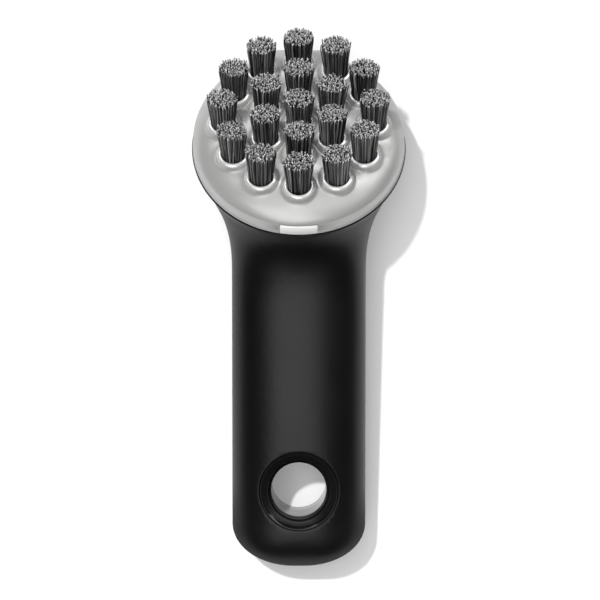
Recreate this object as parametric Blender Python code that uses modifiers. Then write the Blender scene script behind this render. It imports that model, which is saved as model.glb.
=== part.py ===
"""Cast iron brush: a round scrubbing head, tilted forward, on a soft oval handle.

A black rigid core runs the whole length and lines the hanging hole. A soft grip is moulded
round it. A light grey bristle plate sits on the core's tongue at the head, over the mouth of
the grip. It holds nineteen tufts of nylon, each in a raised collar over a metal anchor, and a
white tab is let into the back of its rim.

The handle runs along Y with the head at +Y, and the brush lies on its back on z = 0. In the
head's own frame x is to the right, y runs down the slope of the face to its front edge and z
is square to the face, from the plane of the plate's lower lip.
"""
import math
import random

import bpy
from mathutils import Matrix, Vector

MM = 0.001

# Driving sizes of the head
RIM_RADIUS = 35.0 * MM
HEAD_TILT = math.radians(31.4)
HEAD_CENTRE_Y = 50.8 * MM
HEAD_CENTRE_Z = 24.2 * MM
WALL_HEIGHT = 4.9 * MM
LIP_HEIGHT = 0.8 * MM
LIP_STEP = 0.3 * MM
PLATE_CROWN = 10.3 * MM
NOSE_REACH = 0.9 * MM
NOSE_SEGMENTS = 2
GROOVE_DEPTH = 2.0 * MM
TONGUE_WIDTH = 1.8 * MM
NOTCH_WALL = 0.8 * MM

# Driving sizes of the tufts
TUFT_MARGIN = 10.1 * MM
TUFT_OFFSET = 1.5 * MM
COLLAR_CLEARANCE = 0.15 * MM
COLLAR_HEIGHT = 1.9 * MM
COLLAR_WALL = 1.45 * MM
COLLAR_EDGE = 0.9 * MM
COLLAR_FLANK = 0.2 * MM
COLLAR_FILLET = 0.35 * MM
COLLAR_ROOT = 2.6 * MM
HOLE_DEPTH = 7.7 * MM
ROOT_THICKNESS = 1.4 * MM
TIP_HEIGHT = 24.9 * MM
TIP_FLARE = 1.45 * MM
ROOT_SHARE = 0.675
STRAND_SHARE = 0.105
STRANDS = 24
TIP_RAGGEDNESS = 0.55 * MM
ANCHOR_MARGIN = 1.4 * MM
ANCHOR_THICKNESS = 0.9 * MM
ANCHOR_HEIGHT = 1.8 * MM

# Driving sizes of the white tab
TAB_WIDTH = 12.4 * MM
TAB_THICKNESS = 1.5 * MM
TAB_LEAN = 0.9 * MM
TAB_CORNER = 1.4 * MM

# Driving sizes of the handle
HANDLE_WIDTH = 44.4 * MM
HANDLE_THICKNESS = 26.8 * MM
HANDLE_RISE = math.radians(4.86)
HANDLE_REACH = 139.85 * MM
END_ROUNDING = 15.0 * MM
HEEL_SETBACK = 13.05 * MM
HEEL_FLAT = 0.5 * MM
HANDLE_FULLNESS = 2.3
NECK_START_Y = -2.0 * MM
FOOT_REAR_Y = 49.0 * MM
FOOT_FRONT_Y = 63.0 * MM
PIVOT_RADIUS = 50.0 * MM
NECK_LENGTHENING = 3.1
RIM_EASING = 1.25
GRIP_WALL = 2.5 * MM

# Driving sizes of the hanging hole
HOLE_SETBACK = 26.95 * MM
HANG_BORE = 9.1 * MM
HANG_STEP = 10.3 * MM
HANG_MOUTH = 12.9 * MM
EYELET_SINK = 0.5 * MM
FUNNEL_DEPTH = 1.7 * MM
STEP_DEPTH = 1.6 * MM
BACK_ROUNDING = 0.7 * MM

# Driving sizes of the core's hollow under the plate
CUP_WALL = 3.1 * MM
CUP_DEPTH = 5.0 * MM

# Clearances
GAP = 0.3 * MM
OVERRUN = 1.0 * MM

# Facets
RIM_SEGMENTS = 60
HOLE_SEGMENTS = 18
ROOT_SEGMENTS = 12
HIDDEN_SEGMENTS = 40
SKIN_SEGMENTS = 40
CORE_SEGMENTS = 32
BORE_SEGMENTS = 36
TAB_CORNER_STEPS = 4
TAB_SPAN_STEPS = 6

# Sizes that follow
HANDLE_END_Y = HEAD_CENTRE_Y - HANDLE_REACH
HEEL_Y = HANDLE_END_Y + HEEL_SETBACK
HOLE_CENTRE_Y = HANDLE_END_Y + HOLE_SETBACK
HALF_WIDTH = HANDLE_WIDTH / 2
HALF_THICKNESS = HANDLE_THICKNESS / 2
GRIP_RIM = RIM_RADIUS + GAP
WALL_RADIUS = RIM_RADIUS - LIP_STEP
NOTCH_RADIUS = RIM_RADIUS - TAB_LEAN - TAB_THICKNESS - GAP
GROOVE_OUTER = NOTCH_RADIUS - NOTCH_WALL
GROOVE_INNER = GROOVE_OUTER - TONGUE_WIDTH - 2 * GAP
CUP_RADIUS = GROOVE_INNER - CUP_WALL
TUFT_RING = WALL_RADIUS - TUFT_MARGIN
TUFT_PITCH = TUFT_RING / 2
COLLAR_FOOT = TUFT_PITCH / 2 - COLLAR_CLEARANCE
COLLAR_RADIUS = COLLAR_FOOT - COLLAR_FLANK - COLLAR_FILLET
HOLE_RADIUS = COLLAR_RADIUS - COLLAR_WALL
ROOT_SPREAD = ROOT_SHARE * HOLE_RADIUS
TIP_SPREAD = ROOT_SPREAD + TIP_FLARE
STRAND_RADIUS = STRAND_SHARE * HOLE_RADIUS
ANCHOR_LENGTH = 2 * (HOLE_RADIUS - ANCHOR_MARGIN)


def clear_scene():
    for old in list(bpy.data.objects):
        bpy.data.objects.remove(old, do_unlink=True)


def collection(name):
    made = bpy.data.collections.new(name)
    bpy.context.scene.collection.children.link(made)
    return made


def material(name, colour, roughness, metallic=0.0):
    made = bpy.data.materials.new(name)
    made.use_nodes = True
    shader = made.node_tree.nodes["Principled BSDF"]
    shader.inputs["Base Color"].default_value = (*colour, 1.0)
    shader.inputs["Roughness"].default_value = roughness
    shader.inputs["Metallic"].default_value = metallic
    made.diffuse_color = (*colour, 1.0)
    return made


clear_scene()
PARTS = collection("cast_iron_brush")
CUTTERS = collection("cutters")

SOFT_BLACK = material("soft black grip", (0.012, 0.012, 0.013), 0.55)
HARD_BLACK = material("hard black core", (0.006, 0.006, 0.007), 0.2)
LIGHT_GREY = material("light grey plate", (0.56, 0.56, 0.545), 0.32)
WHITE = material("white tab", (0.83, 0.83, 0.81), 0.3)
NYLON = material("dark grey nylon", (0.045, 0.045, 0.047), 0.45)
ZINC = material("zinc wire", (0.62, 0.62, 0.6), 0.35, 1.0)


def empty(name, location, tilt=0.0, parent=None):
    made = bpy.data.objects.new(name, None)
    made.location = location
    made.rotation_euler = (tilt, 0.0, 0.0)
    made.parent = parent
    PARTS.objects.link(made)
    return made


def shade(mesh):
    mesh.shade_smooth()
    mesh.set_sharp_from_angle(angle=math.radians(32))


def add_object(name, mesh, surface, parent):
    made = bpy.data.objects.new(name, mesh)
    made.parent = parent
    if surface is None:
        CUTTERS.objects.link(made)
        made.hide_render = True
        made.display_type = "WIRE"
    else:
        mesh.materials.clear()
        mesh.materials.append(surface)
        PARTS.objects.link(made)
    return made


def boolean(target, operation, cutter):
    modifier = target.modifiers.new(operation.lower(), "BOOLEAN")
    modifier.operation = operation
    modifier.solver = "MANIFOLD"
    modifier.object = cutter
    return modifier


def loft(name, rings, start_point=None):
    """Skins rings of points from first to last. The first closes on a point or flat."""
    verts = [point for ring in rings for point in ring]
    count = len(rings[0])
    faces = []
    for level in range(len(rings) - 1):
        low, high = level * count, (level + 1) * count
        for i in range(count):
            j = (i + 1) % count
            faces.append((low + i, low + j, high + j, high + i))
    if start_point is None:
        faces.append(tuple(range(count))[::-1])
    else:
        verts.append(start_point)
        faces += [(len(verts) - 1, (i + 1) % count, i) for i in range(count)]
    last = (len(rings) - 1) * count
    faces.append(tuple(range(last, last + count)))
    mesh = bpy.data.meshes.new(name)
    mesh.from_pydata([tuple(v) for v in verts], [], faces)
    return mesh


def turned(name, profile, segments, surface, parent):
    """Turns (radius, z) pairs, listed down the outer side, with Screw."""
    mesh = bpy.data.meshes.new(name)
    points = [(radius, 0.0, z) for radius, z in profile]
    closed = profile[0][0] > 0 and profile[-1][0] > 0
    edges = [(i, i + 1) for i in range(len(points) - 1)]
    if closed:
        edges.append((len(points) - 1, 0))
    mesh.from_pydata(points, edges, [])
    made = add_object(name, mesh, surface, parent)
    screw = made.modifiers.new("turn", "SCREW")
    screw.steps = segments
    screw.render_steps = segments
    screw.use_merge_vertices = True
    screw.merge_threshold = 0.00001
    return made


def cylinder(name, radius, bottom, top, segments, parent):
    """A cutter along its parent's z."""
    profile = [(0.0, top), (radius, top), (radius, bottom), (0.0, bottom)]
    return turned(name, profile, segments, None, parent)


# The plan and side view of the body, in the vertical plane x = 0

def head_point(slope_y, height):
    """World (y, z) of a point in the head's frame."""
    y = HEAD_CENTRE_Y + slope_y * math.cos(HEAD_TILT) + height * math.sin(HEAD_TILT)
    z = HEAD_CENTRE_Z - slope_y * math.sin(HEAD_TILT) + height * math.cos(HEAD_TILT)
    return Vector((y, z))


def axis_z(y):
    """Height of the handle's straight middle line."""
    heel_height = HALF_THICKNESS - HEEL_FLAT
    return heel_height + (y - HEEL_Y) * math.tan(HANDLE_RISE)


def hermite(start, start_pull, end, end_pull, steps):
    points = []
    for i in range(1, steps + 1):
        t = i / steps
        points.append(
            (2 * t**3 - 3 * t**2 + 1) * start
            + (t**3 - 2 * t**2 + t) * start_pull
            + (3 * t**2 - 2 * t**3) * end
            + (t**3 - t**2) * end_pull
        )
    return points


MOUTH_LEVEL = -GAP
PIVOT = head_point(-PIVOT_RADIUS, MOUTH_LEVEL)
ALONG_HANDLE = Vector((math.cos(HANDLE_RISE), math.sin(HANDLE_RISE)))
SQUARE_TO_FACE = Vector((math.sin(HEAD_TILT), math.cos(HEAD_TILT)))
FLAT_AHEAD = Vector((1.0, 0.0))


def top_line():
    """Straight handle back, then the concave neck up to the head's rear rim."""
    start = Vector((HANDLE_END_Y - OVERRUN, axis_z(HANDLE_END_Y - OVERRUN) + HALF_THICKNESS))
    neck = Vector((NECK_START_Y, axis_z(NECK_START_Y) + HALF_THICKNESS))
    rim = head_point(-GRIP_RIM, MOUTH_LEVEL)
    reach = (rim - neck).length
    curve = hermite(neck, ALONG_HANDLE * reach * 1.25, rim, SQUARE_TO_FACE * reach * 0.8, 22)
    return [start, neck] + curve


def under_line():
    """Straight handle belly, a shallow hollow, the foot, and the bowl up to the front rim."""
    start = Vector((HANDLE_END_Y - OVERRUN, axis_z(HANDLE_END_Y - OVERRUN) - HALF_THICKNESS))
    neck = Vector((NECK_START_Y, axis_z(NECK_START_Y) - HALF_THICKNESS))
    foot_rear = Vector((FOOT_REAR_Y, -HEEL_FLAT))
    foot_front = Vector((FOOT_FRONT_Y, -HEEL_FLAT))
    rim = head_point(GRIP_RIM, MOUTH_LEVEL)
    reach = (foot_rear - neck).length
    run = (rim - foot_front).length
    hollow = hermite(neck, ALONG_HANDLE * reach, foot_rear, FLAT_AHEAD * reach, 24)
    bowl = hermite(foot_front, FLAT_AHEAD * run * 1.3, rim, SQUARE_TO_FACE * run * 0.9, 20)
    return [start, neck] + hollow + [foot_front] + bowl


def moved_in(line, inset, side):
    """The line moved square to itself: side 1 moves it up, -1 down."""
    moved = []
    for i, point in enumerate(line):
        before = line[max(i - 1, 0)]
        after = line[min(i + 1, len(line) - 1)]
        run = (after - before).normalized()
        moved.append(point + Vector((-run.y, run.x)) * inset * side)
    return moved


def meet(line, origin, direction):
    """How far along the direction from the origin the line is met."""
    best = None
    for a, b in zip(line, line[1:]):
        run = b - a
        cross = direction.x * run.y - direction.y * run.x
        if abs(cross) < 1e-12:
            continue
        offset = a - origin
        along = (offset.x * run.y - offset.y * run.x) / cross
        share = (offset.x * direction.y - offset.y * direction.x) / cross
        if -1e-6 <= share <= 1 + 1e-6 and (best is None or abs(along) < abs(best)):
            best = along
    return best


def squircle(angle, fullness):
    """A point of the unit section, from a circle at 2 to fuller sides above it."""
    c, s = math.cos(angle), math.sin(angle)
    x = math.copysign(abs(c) ** (2 / fullness), c)
    y = math.copysign(abs(s) ** (2 / fullness), s)
    return x, y


def section(origin, direction, near, far, half_width, fullness, segments):
    """Ring in the plane of x and direction, between near and far along it."""
    centre = origin + direction * (near + far) / 2
    depth = (far - near) / 2
    ring = []
    for i in range(segments):
        across, along = squircle(2 * math.pi * i / segments, fullness)
        point = centre + direction * depth * along
        ring.append(Vector((half_width * across, point.x, point.y)))
    return ring


def neck_half_width(share):
    """Half width from the handle, share 0, to the round rim, share 1."""
    flare = 1 - (1 - share**NECK_LENGTHENING) ** RIM_EASING
    return HALF_WIDTH + (GRIP_RIM - HALF_WIDTH) * flare


def body_rings(inset, segments, end_steps, neck_steps):
    """Rings from the handle's end to the head's mouth, moved in from the grip's skin."""
    top = moved_in(top_line(), inset, -1)
    under = moved_in(under_line(), inset, 1)
    down = Vector((0.0, -1.0))
    rings = []

    def upright(y, scale):
        middle = Vector((y, axis_z(y)))
        near = meet(top, middle, down)
        far = meet(under, middle, down)
        width = (HALF_WIDTH - inset) * scale
        return section(middle, down, near * scale, far * scale, width, HANDLE_FULLNESS, segments)

    round_start = HANDLE_END_Y + END_ROUNDING
    for i in range(1, end_steps + 1):
        turn = math.radians(90) * (1 - i / (end_steps + 0.5)) ** 1.15
        y = round_start - (END_ROUNDING - inset) * math.sin(turn)
        rings.append(upright(y, math.cos(turn)))
    straight_steps = 6
    for i in range(straight_steps + 1):
        y = round_start + (PIVOT.x - round_start) * i / straight_steps
        rings.append(upright(y, 1.0))

    swing = math.radians(90) - HEAD_TILT
    for i in range(1, neck_steps):
        share = 1 - (1 - i / neck_steps) ** 1.5
        angle = math.radians(-90) + swing * share
        direction = Vector((math.cos(angle), math.sin(angle)))
        near = meet(top, PIVOT, direction)
        far = meet(under, PIVOT, direction)
        width = neck_half_width(share) - inset
        fullness = HANDLE_FULLNESS + (2 - HANDLE_FULLNESS) * share
        rings.append(section(PIVOT, direction, near, far, width, fullness, segments))

    direction = Vector((math.cos(HEAD_TILT), -math.sin(HEAD_TILT)))
    radius = GRIP_RIM - inset
    near, far = PIVOT_RADIUS - radius, PIVOT_RADIUS + radius
    rings.append(section(PIVOT, direction, near, far, radius, 2.0, segments))
    return rings


def body_mesh(name, inset, segments, end_steps, neck_steps, over_mouth=0.0):
    rings = body_rings(inset, segments, end_steps, neck_steps)
    end_y = HANDLE_END_Y + inset
    if over_mouth:
        rise = Vector((0.0, SQUARE_TO_FACE.x, SQUARE_TO_FACE.y)) * over_mouth
        rings.append([point + rise for point in rings[-1]])
    return loft(name, rings, Vector((0.0, end_y, axis_z(end_y))))


def skin_height(x):
    """Height of the handle's skin over its middle line, at x from that line."""
    share = min(abs(x) / HALF_WIDTH, 1.0)
    return HALF_THICKNESS * (1 - share**HANDLE_FULLNESS) ** (1 / HANDLE_FULLNESS)


# The frames that the pieces hang from

ROOT = empty("brush_frame", (0.0, 0.0, 0.0))
HEAD = empty("head_frame", (0.0, HEAD_CENTRE_Y, HEAD_CENTRE_Z), -HEAD_TILT, ROOT)
HANG = empty("hang_hole_frame", (0.0, HOLE_CENTRE_Y, axis_z(HOLE_CENTRE_Y)), HANDLE_RISE, ROOT)


def make_grip():
    """The soft moulded skin: open at the head, cut away round the hanging hole."""
    mesh = body_mesh("grip", 0.0, SKIN_SEGMENTS, 6, 13)
    shade(mesh)
    grip = add_object("grip", mesh, SOFT_BLACK, ROOT)
    hollow_mesh = body_mesh("grip_hollow", GRIP_WALL, CORE_SEGMENTS, 5, 10, 2 * OVERRUN)
    hollow = add_object("grip_hollow", hollow_mesh, None, ROOT)
    boolean(grip, "DIFFERENCE", hollow)
    reach = HALF_THICKNESS + 2 * OVERRUN
    mouth = cylinder("hang_mouth_cut", HANG_MOUTH, -reach, reach, BORE_SEGMENTS, HANG)
    boolean(grip, "DIFFERENCE", mouth)
    bpy.ops.mesh.primitive_cube_add(size=1.0)
    floor_cut = bpy.context.object
    floor_cut.name = "rest_plane_cut"
    for owner in list(floor_cut.users_collection):
        owner.objects.unlink(floor_cut)
    CUTTERS.objects.link(floor_cut)
    floor_cut.hide_render = True
    floor_cut.display_type = "WIRE"
    floor_cut.scale = (4 * RIM_RADIUS, 8 * RIM_RADIUS, 10 * OVERRUN)
    floor_cut.location = (0.0, 0.0, -5 * OVERRUN)
    floor_cut.parent = ROOT
    boolean(grip, "DIFFERENCE", floor_cut)
    return grip


def eyelet_mesh():
    """The hard lining of the hanging hole: a stepped funnel in front, a rounded edge behind."""
    outer = HANG_MOUTH - GAP
    sink = EYELET_SINK
    lower = sink + FUNNEL_DEPTH
    floor = lower + STEP_DEPTH
    face = [(outer, sink), (HANG_STEP, lower), (HANG_STEP - GAP, floor), (HANG_BORE, floor + GAP)]
    back = [(HANG_BORE, sink + BACK_ROUNDING), (HANG_BORE + BACK_ROUNDING, sink), (outer, sink)]
    rings = []
    for side, profile in ((1, face), (-1, back)):
        for radius, depth in profile:
            ring = []
            for i in range(BORE_SEGMENTS):
                angle = 2 * math.pi * i / BORE_SEGMENTS
                x, y = radius * math.cos(angle), radius * math.sin(angle)
                ring.append(Vector((x, y, side * (skin_height(x) - depth))))
            rings.append(ring)
    count = BORE_SEGMENTS
    faces = []
    for level in range(len(rings)):
        low, high = level * count, ((level + 1) % len(rings)) * count
        for i in range(count):
            j = (i + 1) % count
            faces.append((low + i, low + j, high + j, high + i))
    mesh = bpy.data.meshes.new("eyelet")
    mesh.from_pydata([tuple(v) for ring in rings for v in ring], [], faces)
    return mesh


def make_core():
    """The hard core: handle beam, hanging hole, cup under the plate and its locating tongue."""
    inset = GRIP_WALL + GAP
    mesh = body_mesh("handle_core", inset, CORE_SEGMENTS, 5, 10)
    shade(mesh)
    core = add_object("handle_core", mesh, HARD_BLACK, ROOT)
    reach = HALF_THICKNESS + 2 * OVERRUN
    middle = (HANG_BORE + HANG_MOUTH) / 2
    room = cylinder("eyelet_room_cut", middle, -reach, reach, BORE_SEGMENTS, HANG)
    boolean(core, "DIFFERENCE", room)
    eyelet = add_object("eyelet", eyelet_mesh(), None, HANG)
    boolean(core, "UNION", eyelet)
    tongue_outer = GROOVE_OUTER - GAP
    tongue_inner = tongue_outer - TONGUE_WIDTH
    tongue_top = GROOVE_DEPTH - GAP
    profile = [
        (tongue_inner, tongue_top),
        (tongue_outer, tongue_top),
        (tongue_outer, MOUTH_LEVEL - OVERRUN),
        (tongue_inner, MOUTH_LEVEL - OVERRUN),
    ]
    tongue = turned("core_tongue", profile, HIDDEN_SEGMENTS, None, HEAD)
    boolean(core, "UNION", tongue)
    cup = cylinder("cup_cut", CUP_RADIUS, MOUTH_LEVEL - CUP_DEPTH, OVERRUN, HIDDEN_SEGMENTS, HEAD)
    boolean(core, "DIFFERENCE", cup)
    return core


def rim_radius_at(angle, radius, reach):
    """Outline of the plate: a circle with a straight scraping edge at the front."""
    corner = 2 * math.pi * NOSE_SEGMENTS / RIM_SEGMENTS
    turned_from_front = abs((angle - math.pi / 2 + math.pi) % (2 * math.pi) - math.pi)
    front = radius + reach
    corner_distance = front / math.cos(corner)
    tangent = corner + math.acos(min(radius / corner_distance, 1.0))
    if turned_from_front <= corner + 1e-9:
        return front / math.cos(turned_from_front)
    if turned_from_front <= tangent:
        return radius / math.cos(tangent - turned_from_front)
    return radius


def crown_height(radius):
    """Height of the plate's face, crowned and rolled down to its rim."""
    share = min(radius / WALL_RADIUS, 1.0)
    fall = PLATE_CROWN - WALL_HEIGHT
    return PLATE_CROWN - fall * (0.16 * share**2 + 0.84 * (1 - (1 - share**7) ** 0.72))


def plate_mesh():
    lip, wall = RIM_RADIUS, WALL_RADIUS
    levels = [(lip, 0.0), (lip, LIP_HEIGHT), (wall, LIP_HEIGHT + LIP_STEP)]
    rounding = 0.35 * MM
    levels += [(wall, WALL_HEIGHT - rounding), (wall - rounding, WALL_HEIGHT + rounding / 2)]
    for share in (0.965, 0.93, 0.885, 0.83, 0.75, 0.6, 0.4, 0.2):
        levels.append((wall * share, crown_height(wall * share)))
    fade_start = TUFT_RING
    rings = []
    for radius, height in levels:
        fade = max(0.0, min(1.0, (radius - fade_start) / (wall - fade_start)))
        ring = []
        for i in range(RIM_SEGMENTS):
            angle = 2 * math.pi * i / RIM_SEGMENTS
            reach = rim_radius_at(angle, radius, NOSE_REACH * fade)
            ring.append(Vector((reach * math.cos(angle), reach * math.sin(angle), height)))
        rings.append(ring)
    return loft("bristle_plate", rings)


def tuft_places():
    """Middle of each tuft in the head's frame, centre first, then two rings."""
    places = [(0.0, TUFT_OFFSET)]
    for count, radius, turn in ((6, TUFT_PITCH, 30), (12, TUFT_RING, 0)):
        for i in range(count):
            angle = math.radians(turn + 360 * i / count)
            places.append((radius * math.cos(angle), TUFT_OFFSET + radius * math.sin(angle)))
    return places


def collar_base(place):
    return crown_height(math.hypot(*place))


def joined_copies(name, meshes, surface=None):
    """One mesh of several placed shapes that don't touch each other."""
    verts, faces = [], []
    for points, polygons in meshes:
        start = len(verts)
        verts += points
        faces += [tuple(start + i for i in polygon) for polygon in polygons]
    mesh = bpy.data.meshes.new(name)
    mesh.from_pydata([tuple(v) for v in verts], [], faces)
    return add_object(name, mesh, surface, HEAD)


def turned_shape(profile, segments, centre):
    """Points and faces of a closed turned solid whose profile starts and ends on its axis."""
    points = []
    for radius, z in profile[1:-1]:
        for i in range(segments):
            angle = 2 * math.pi * i / segments
            x = centre[0] + radius * math.cos(angle)
            y = centre[1] + radius * math.sin(angle)
            points.append(Vector((x, y, z)))
    faces = [tuple(range(segments))]
    for level in range(len(profile) - 3):
        low, high = level * segments, (level + 1) * segments
        for i in range(segments):
            j = (i + 1) % segments
            faces.append((low + i, high + i, high + j, low + j))
    last = (len(profile) - 3) * segments
    faces.append(tuple(range(last, last + segments))[::-1])
    return points, faces


def make_plate():
    """The plate: crowned face, collars, blind holes, groove beneath and notch for the tab."""
    mesh = plate_mesh()
    shade(mesh)
    plate = add_object("bristle_plate", mesh, LIGHT_GREY, HEAD)
    collars, holes = [], []
    eased = COLLAR_EDGE * (1 - math.cos(math.radians(45)))
    for place in tuft_places():
        base = collar_base(place)
        top = base + COLLAR_HEIGHT
        collar = [
            (0.0, top),
            (COLLAR_RADIUS - COLLAR_EDGE, top),
            (COLLAR_RADIUS - eased, top - eased),
            (COLLAR_RADIUS, top - COLLAR_EDGE),
            (COLLAR_RADIUS + COLLAR_FLANK, base + COLLAR_FILLET),
            (COLLAR_FOOT, base - COLLAR_FILLET),
            (COLLAR_FOOT, base - COLLAR_ROOT),
            (0.0, base - COLLAR_ROOT),
        ]
        hole = [
            (0.0, top + OVERRUN),
            (HOLE_RADIUS, top + OVERRUN),
            (HOLE_RADIUS, top - HOLE_DEPTH),
            (0.0, top - HOLE_DEPTH),
        ]
        collars.append(turned_shape(collar, HOLE_SEGMENTS, place))
        holes.append(turned_shape(hole, HOLE_SEGMENTS, place))
    boolean(plate, "UNION", joined_copies("collars", collars))
    boolean(plate, "DIFFERENCE", joined_copies("tuft_holes", holes))
    groove = [
        (GROOVE_INNER, GROOVE_DEPTH),
        (GROOVE_OUTER, GROOVE_DEPTH),
        (GROOVE_OUTER, -OVERRUN),
        (GROOVE_INNER, -OVERRUN),
    ]
    boolean(plate, "DIFFERENCE", turned("tongue_groove", groove, HIDDEN_SEGMENTS, None, HEAD))
    notch_mesh = tab_mesh("tab_notch", GAP, OVERRUN)
    boolean(plate, "DIFFERENCE", add_object("tab_notch", notch_mesh, None, HEAD))
    return plate


def tab_mesh(name, grow, overrun):
    """The tab's outline bent round the rim at the back, or with its clearance the notch."""
    half = TAB_WIDTH / 2 + grow
    bottom = GAP / 2 - overrun
    top = WALL_HEIGHT + grow
    corner = TAB_CORNER + grow
    straight = half - corner
    rounded = []
    for i in range(TAB_CORNER_STEPS + 1):
        turn = math.radians(90) * i / TAB_CORNER_STEPS
        rounded.append((straight + corner * math.cos(turn), top - corner + corner * math.sin(turn)))
    span = [straight * (1 - 2 * i / TAB_SPAN_STEPS) for i in range(1, TAB_SPAN_STEPS)]
    stations = rounded + [(x, top) for x in span] + [(-x, z) for x, z in reversed(rounded)]
    rings = []
    for x, edge in stations:
        inner = NOTCH_RADIUS if grow else NOTCH_RADIUS + GAP
        corners = ((None, bottom), (None, edge), (inner, edge), (inner, bottom))
        ring = []
        for radius, z in corners:
            if radius is None:
                lean = TAB_LEAN * max(z, 0.0) / WALL_HEIGHT
                radius = RIM_RADIUS + overrun if overrun else RIM_RADIUS - lean
            angle = x / RIM_RADIUS
            ring.append(Vector((radius * math.sin(angle), -radius * math.cos(angle), z)))
        rings.append(ring)
    return loft(name, rings)


def make_tab():
    mesh = tab_mesh("rim_tab", 0.0, 0.0)
    add_object("rim_tab", mesh, WHITE, HEAD)


def strand_mesh(name, root_z, exit_z, seed):
    """Three sided strands in a spiral pattern, spreading a little from root to tip."""
    dice = random.Random(seed)
    golden = math.pi * (3 - math.sqrt(5))
    spin = dice.uniform(0, 2 * math.pi)
    verts, faces = [], []
    for k in range(STRANDS):
        share = math.sqrt((k + 0.5) / STRANDS)
        angle = spin + golden * k
        tip_z = TIP_HEIGHT + dice.uniform(-TIP_RAGGEDNESS, TIP_RAGGEDNESS)
        turn = dice.uniform(0, 2 * math.pi)
        rise = (tip_z - root_z) / (TIP_HEIGHT - root_z)
        spread = ROOT_SPREAD + (TIP_SPREAD - ROOT_SPREAD) * rise
        start = len(verts)
        for radius, z in ((ROOT_SPREAD * share, root_z), (spread * share, tip_z)):
            for corner in range(3):
                phase = turn + 2 * math.pi * corner / 3
                x = radius * math.cos(angle) + STRAND_RADIUS * math.cos(phase)
                y = radius * math.sin(angle) + STRAND_RADIUS * math.sin(phase)
                verts.append((x, y, z))
        a, b, c, d, e, f = range(start, start + 6)
        faces += [(c, b, a), (d, e, f), (a, b, e, d), (b, c, f, e), (c, a, d, f)]
    mesh = bpy.data.meshes.new(name)
    mesh.from_pydata(verts, [], faces)
    return mesh


def make_tufts():
    """Each tuft stands on its root slice, over the anchor at the bottom of its hole."""
    for number, place in enumerate(tuft_places(), start=1):
        hole_floor = collar_base(place) + COLLAR_HEIGHT - HOLE_DEPTH
        anchor_low = hole_floor + GAP
        root_low = anchor_low + ANCHOR_HEIGHT + GAP
        root_high = root_low + ROOT_THICKNESS
        seat = empty(f"tuft_seat_{number:02d}", (place[0], place[1], 0.0), 0.0, HEAD)

        radius = HOLE_RADIUS - GAP
        profile = [(0.0, root_high), (radius, root_high), (radius, root_low), (0.0, root_low)]
        tuft = turned(f"tuft_{number:02d}", profile, ROOT_SEGMENTS, NYLON, seat)
        name = f"strands_{number:02d}"
        buried = root_high - ROOT_THICKNESS / 2
        strands = add_object(name, strand_mesh(name, buried, root_high, number), None, seat)
        boolean(tuft, "UNION", strands)

        bpy.ops.mesh.primitive_cube_add(size=1.0)
        anchor = bpy.context.object
        anchor.name = f"anchor_{number:02d}"
        for owner in list(anchor.users_collection):
            owner.objects.unlink(anchor)
        PARTS.objects.link(anchor)
        anchor.data.transform(Matrix.Diagonal((ANCHOR_LENGTH, ANCHOR_THICKNESS, ANCHOR_HEIGHT, 1)))
        anchor.data.materials.append(ZINC)
        anchor.parent = seat
        anchor.location = (0.0, 0.0, anchor_low + ANCHOR_HEIGHT / 2)


def stand_on_floor():
    """Moves the whole brush so that its box is centred over the origin and rests on z = 0."""
    bpy.context.view_layer.update()
    depsgraph = bpy.context.evaluated_depsgraph_get()
    corners = []
    for item in PARTS.objects:
        if item.type == "MESH":
            shape = item.evaluated_get(depsgraph)
            corners += [shape.matrix_world @ vert.co for vert in shape.data.vertices]
    low = Vector([min(c[i] for c in corners) for i in range(3)])
    high = Vector([max(c[i] for c in corners) for i in range(3)])
    ROOT.location = (-(low.x + high.x) / 2, -(low.y + high.y) / 2, -low.z)
    bpy.context.view_layer.update()


make_grip()
make_core()
make_plate()
make_tab()
make_tufts()
stand_on_floor()
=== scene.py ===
"""The cast iron brush, dressed over its solids: soft grip, glossy core, plate and bristles.

The handle runs along Y with the head at +Y, and the brush rests on z = 0. Shapes are worked out
in the part's own design frame and set down with SET_DOWN. In the head's frame x is to the
right, y runs down the slope of the face to its front edge and z is square to the face.
"""

import math
import random

import bmesh
import bpy
from mathutils import Matrix, Vector


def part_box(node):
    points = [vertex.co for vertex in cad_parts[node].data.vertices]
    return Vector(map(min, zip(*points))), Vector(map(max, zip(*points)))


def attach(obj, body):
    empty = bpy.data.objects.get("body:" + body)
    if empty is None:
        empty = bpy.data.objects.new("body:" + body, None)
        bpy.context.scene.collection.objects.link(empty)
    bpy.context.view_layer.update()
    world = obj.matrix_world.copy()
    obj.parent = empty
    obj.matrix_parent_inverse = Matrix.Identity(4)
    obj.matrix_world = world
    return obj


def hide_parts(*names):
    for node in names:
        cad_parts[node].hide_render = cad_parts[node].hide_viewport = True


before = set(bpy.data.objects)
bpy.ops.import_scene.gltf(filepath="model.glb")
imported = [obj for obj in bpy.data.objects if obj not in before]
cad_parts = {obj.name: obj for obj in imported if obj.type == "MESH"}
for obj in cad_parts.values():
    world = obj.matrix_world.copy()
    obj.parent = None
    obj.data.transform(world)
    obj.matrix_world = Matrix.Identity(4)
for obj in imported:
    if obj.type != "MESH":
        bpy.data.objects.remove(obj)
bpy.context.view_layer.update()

MM = 0.001

# Head, as the solids have it
RIM_RADIUS = 35.0 * MM
HEAD_TILT = math.radians(31.4)
HEAD_CENTRE_Y = 50.8 * MM
HEAD_CENTRE_Z = 24.2 * MM
WALL_HEIGHT = 4.9 * MM
PLATE_CROWN = 10.3 * MM
NOSE_REACH = 0.9 * MM
NOSE_HALF_ANGLE = math.radians(12)
WALL_RADIUS = 34.7 * MM
MOUTH_LEVEL = -0.3 * MM
GRIP_RIM = 35.3 * MM

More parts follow.
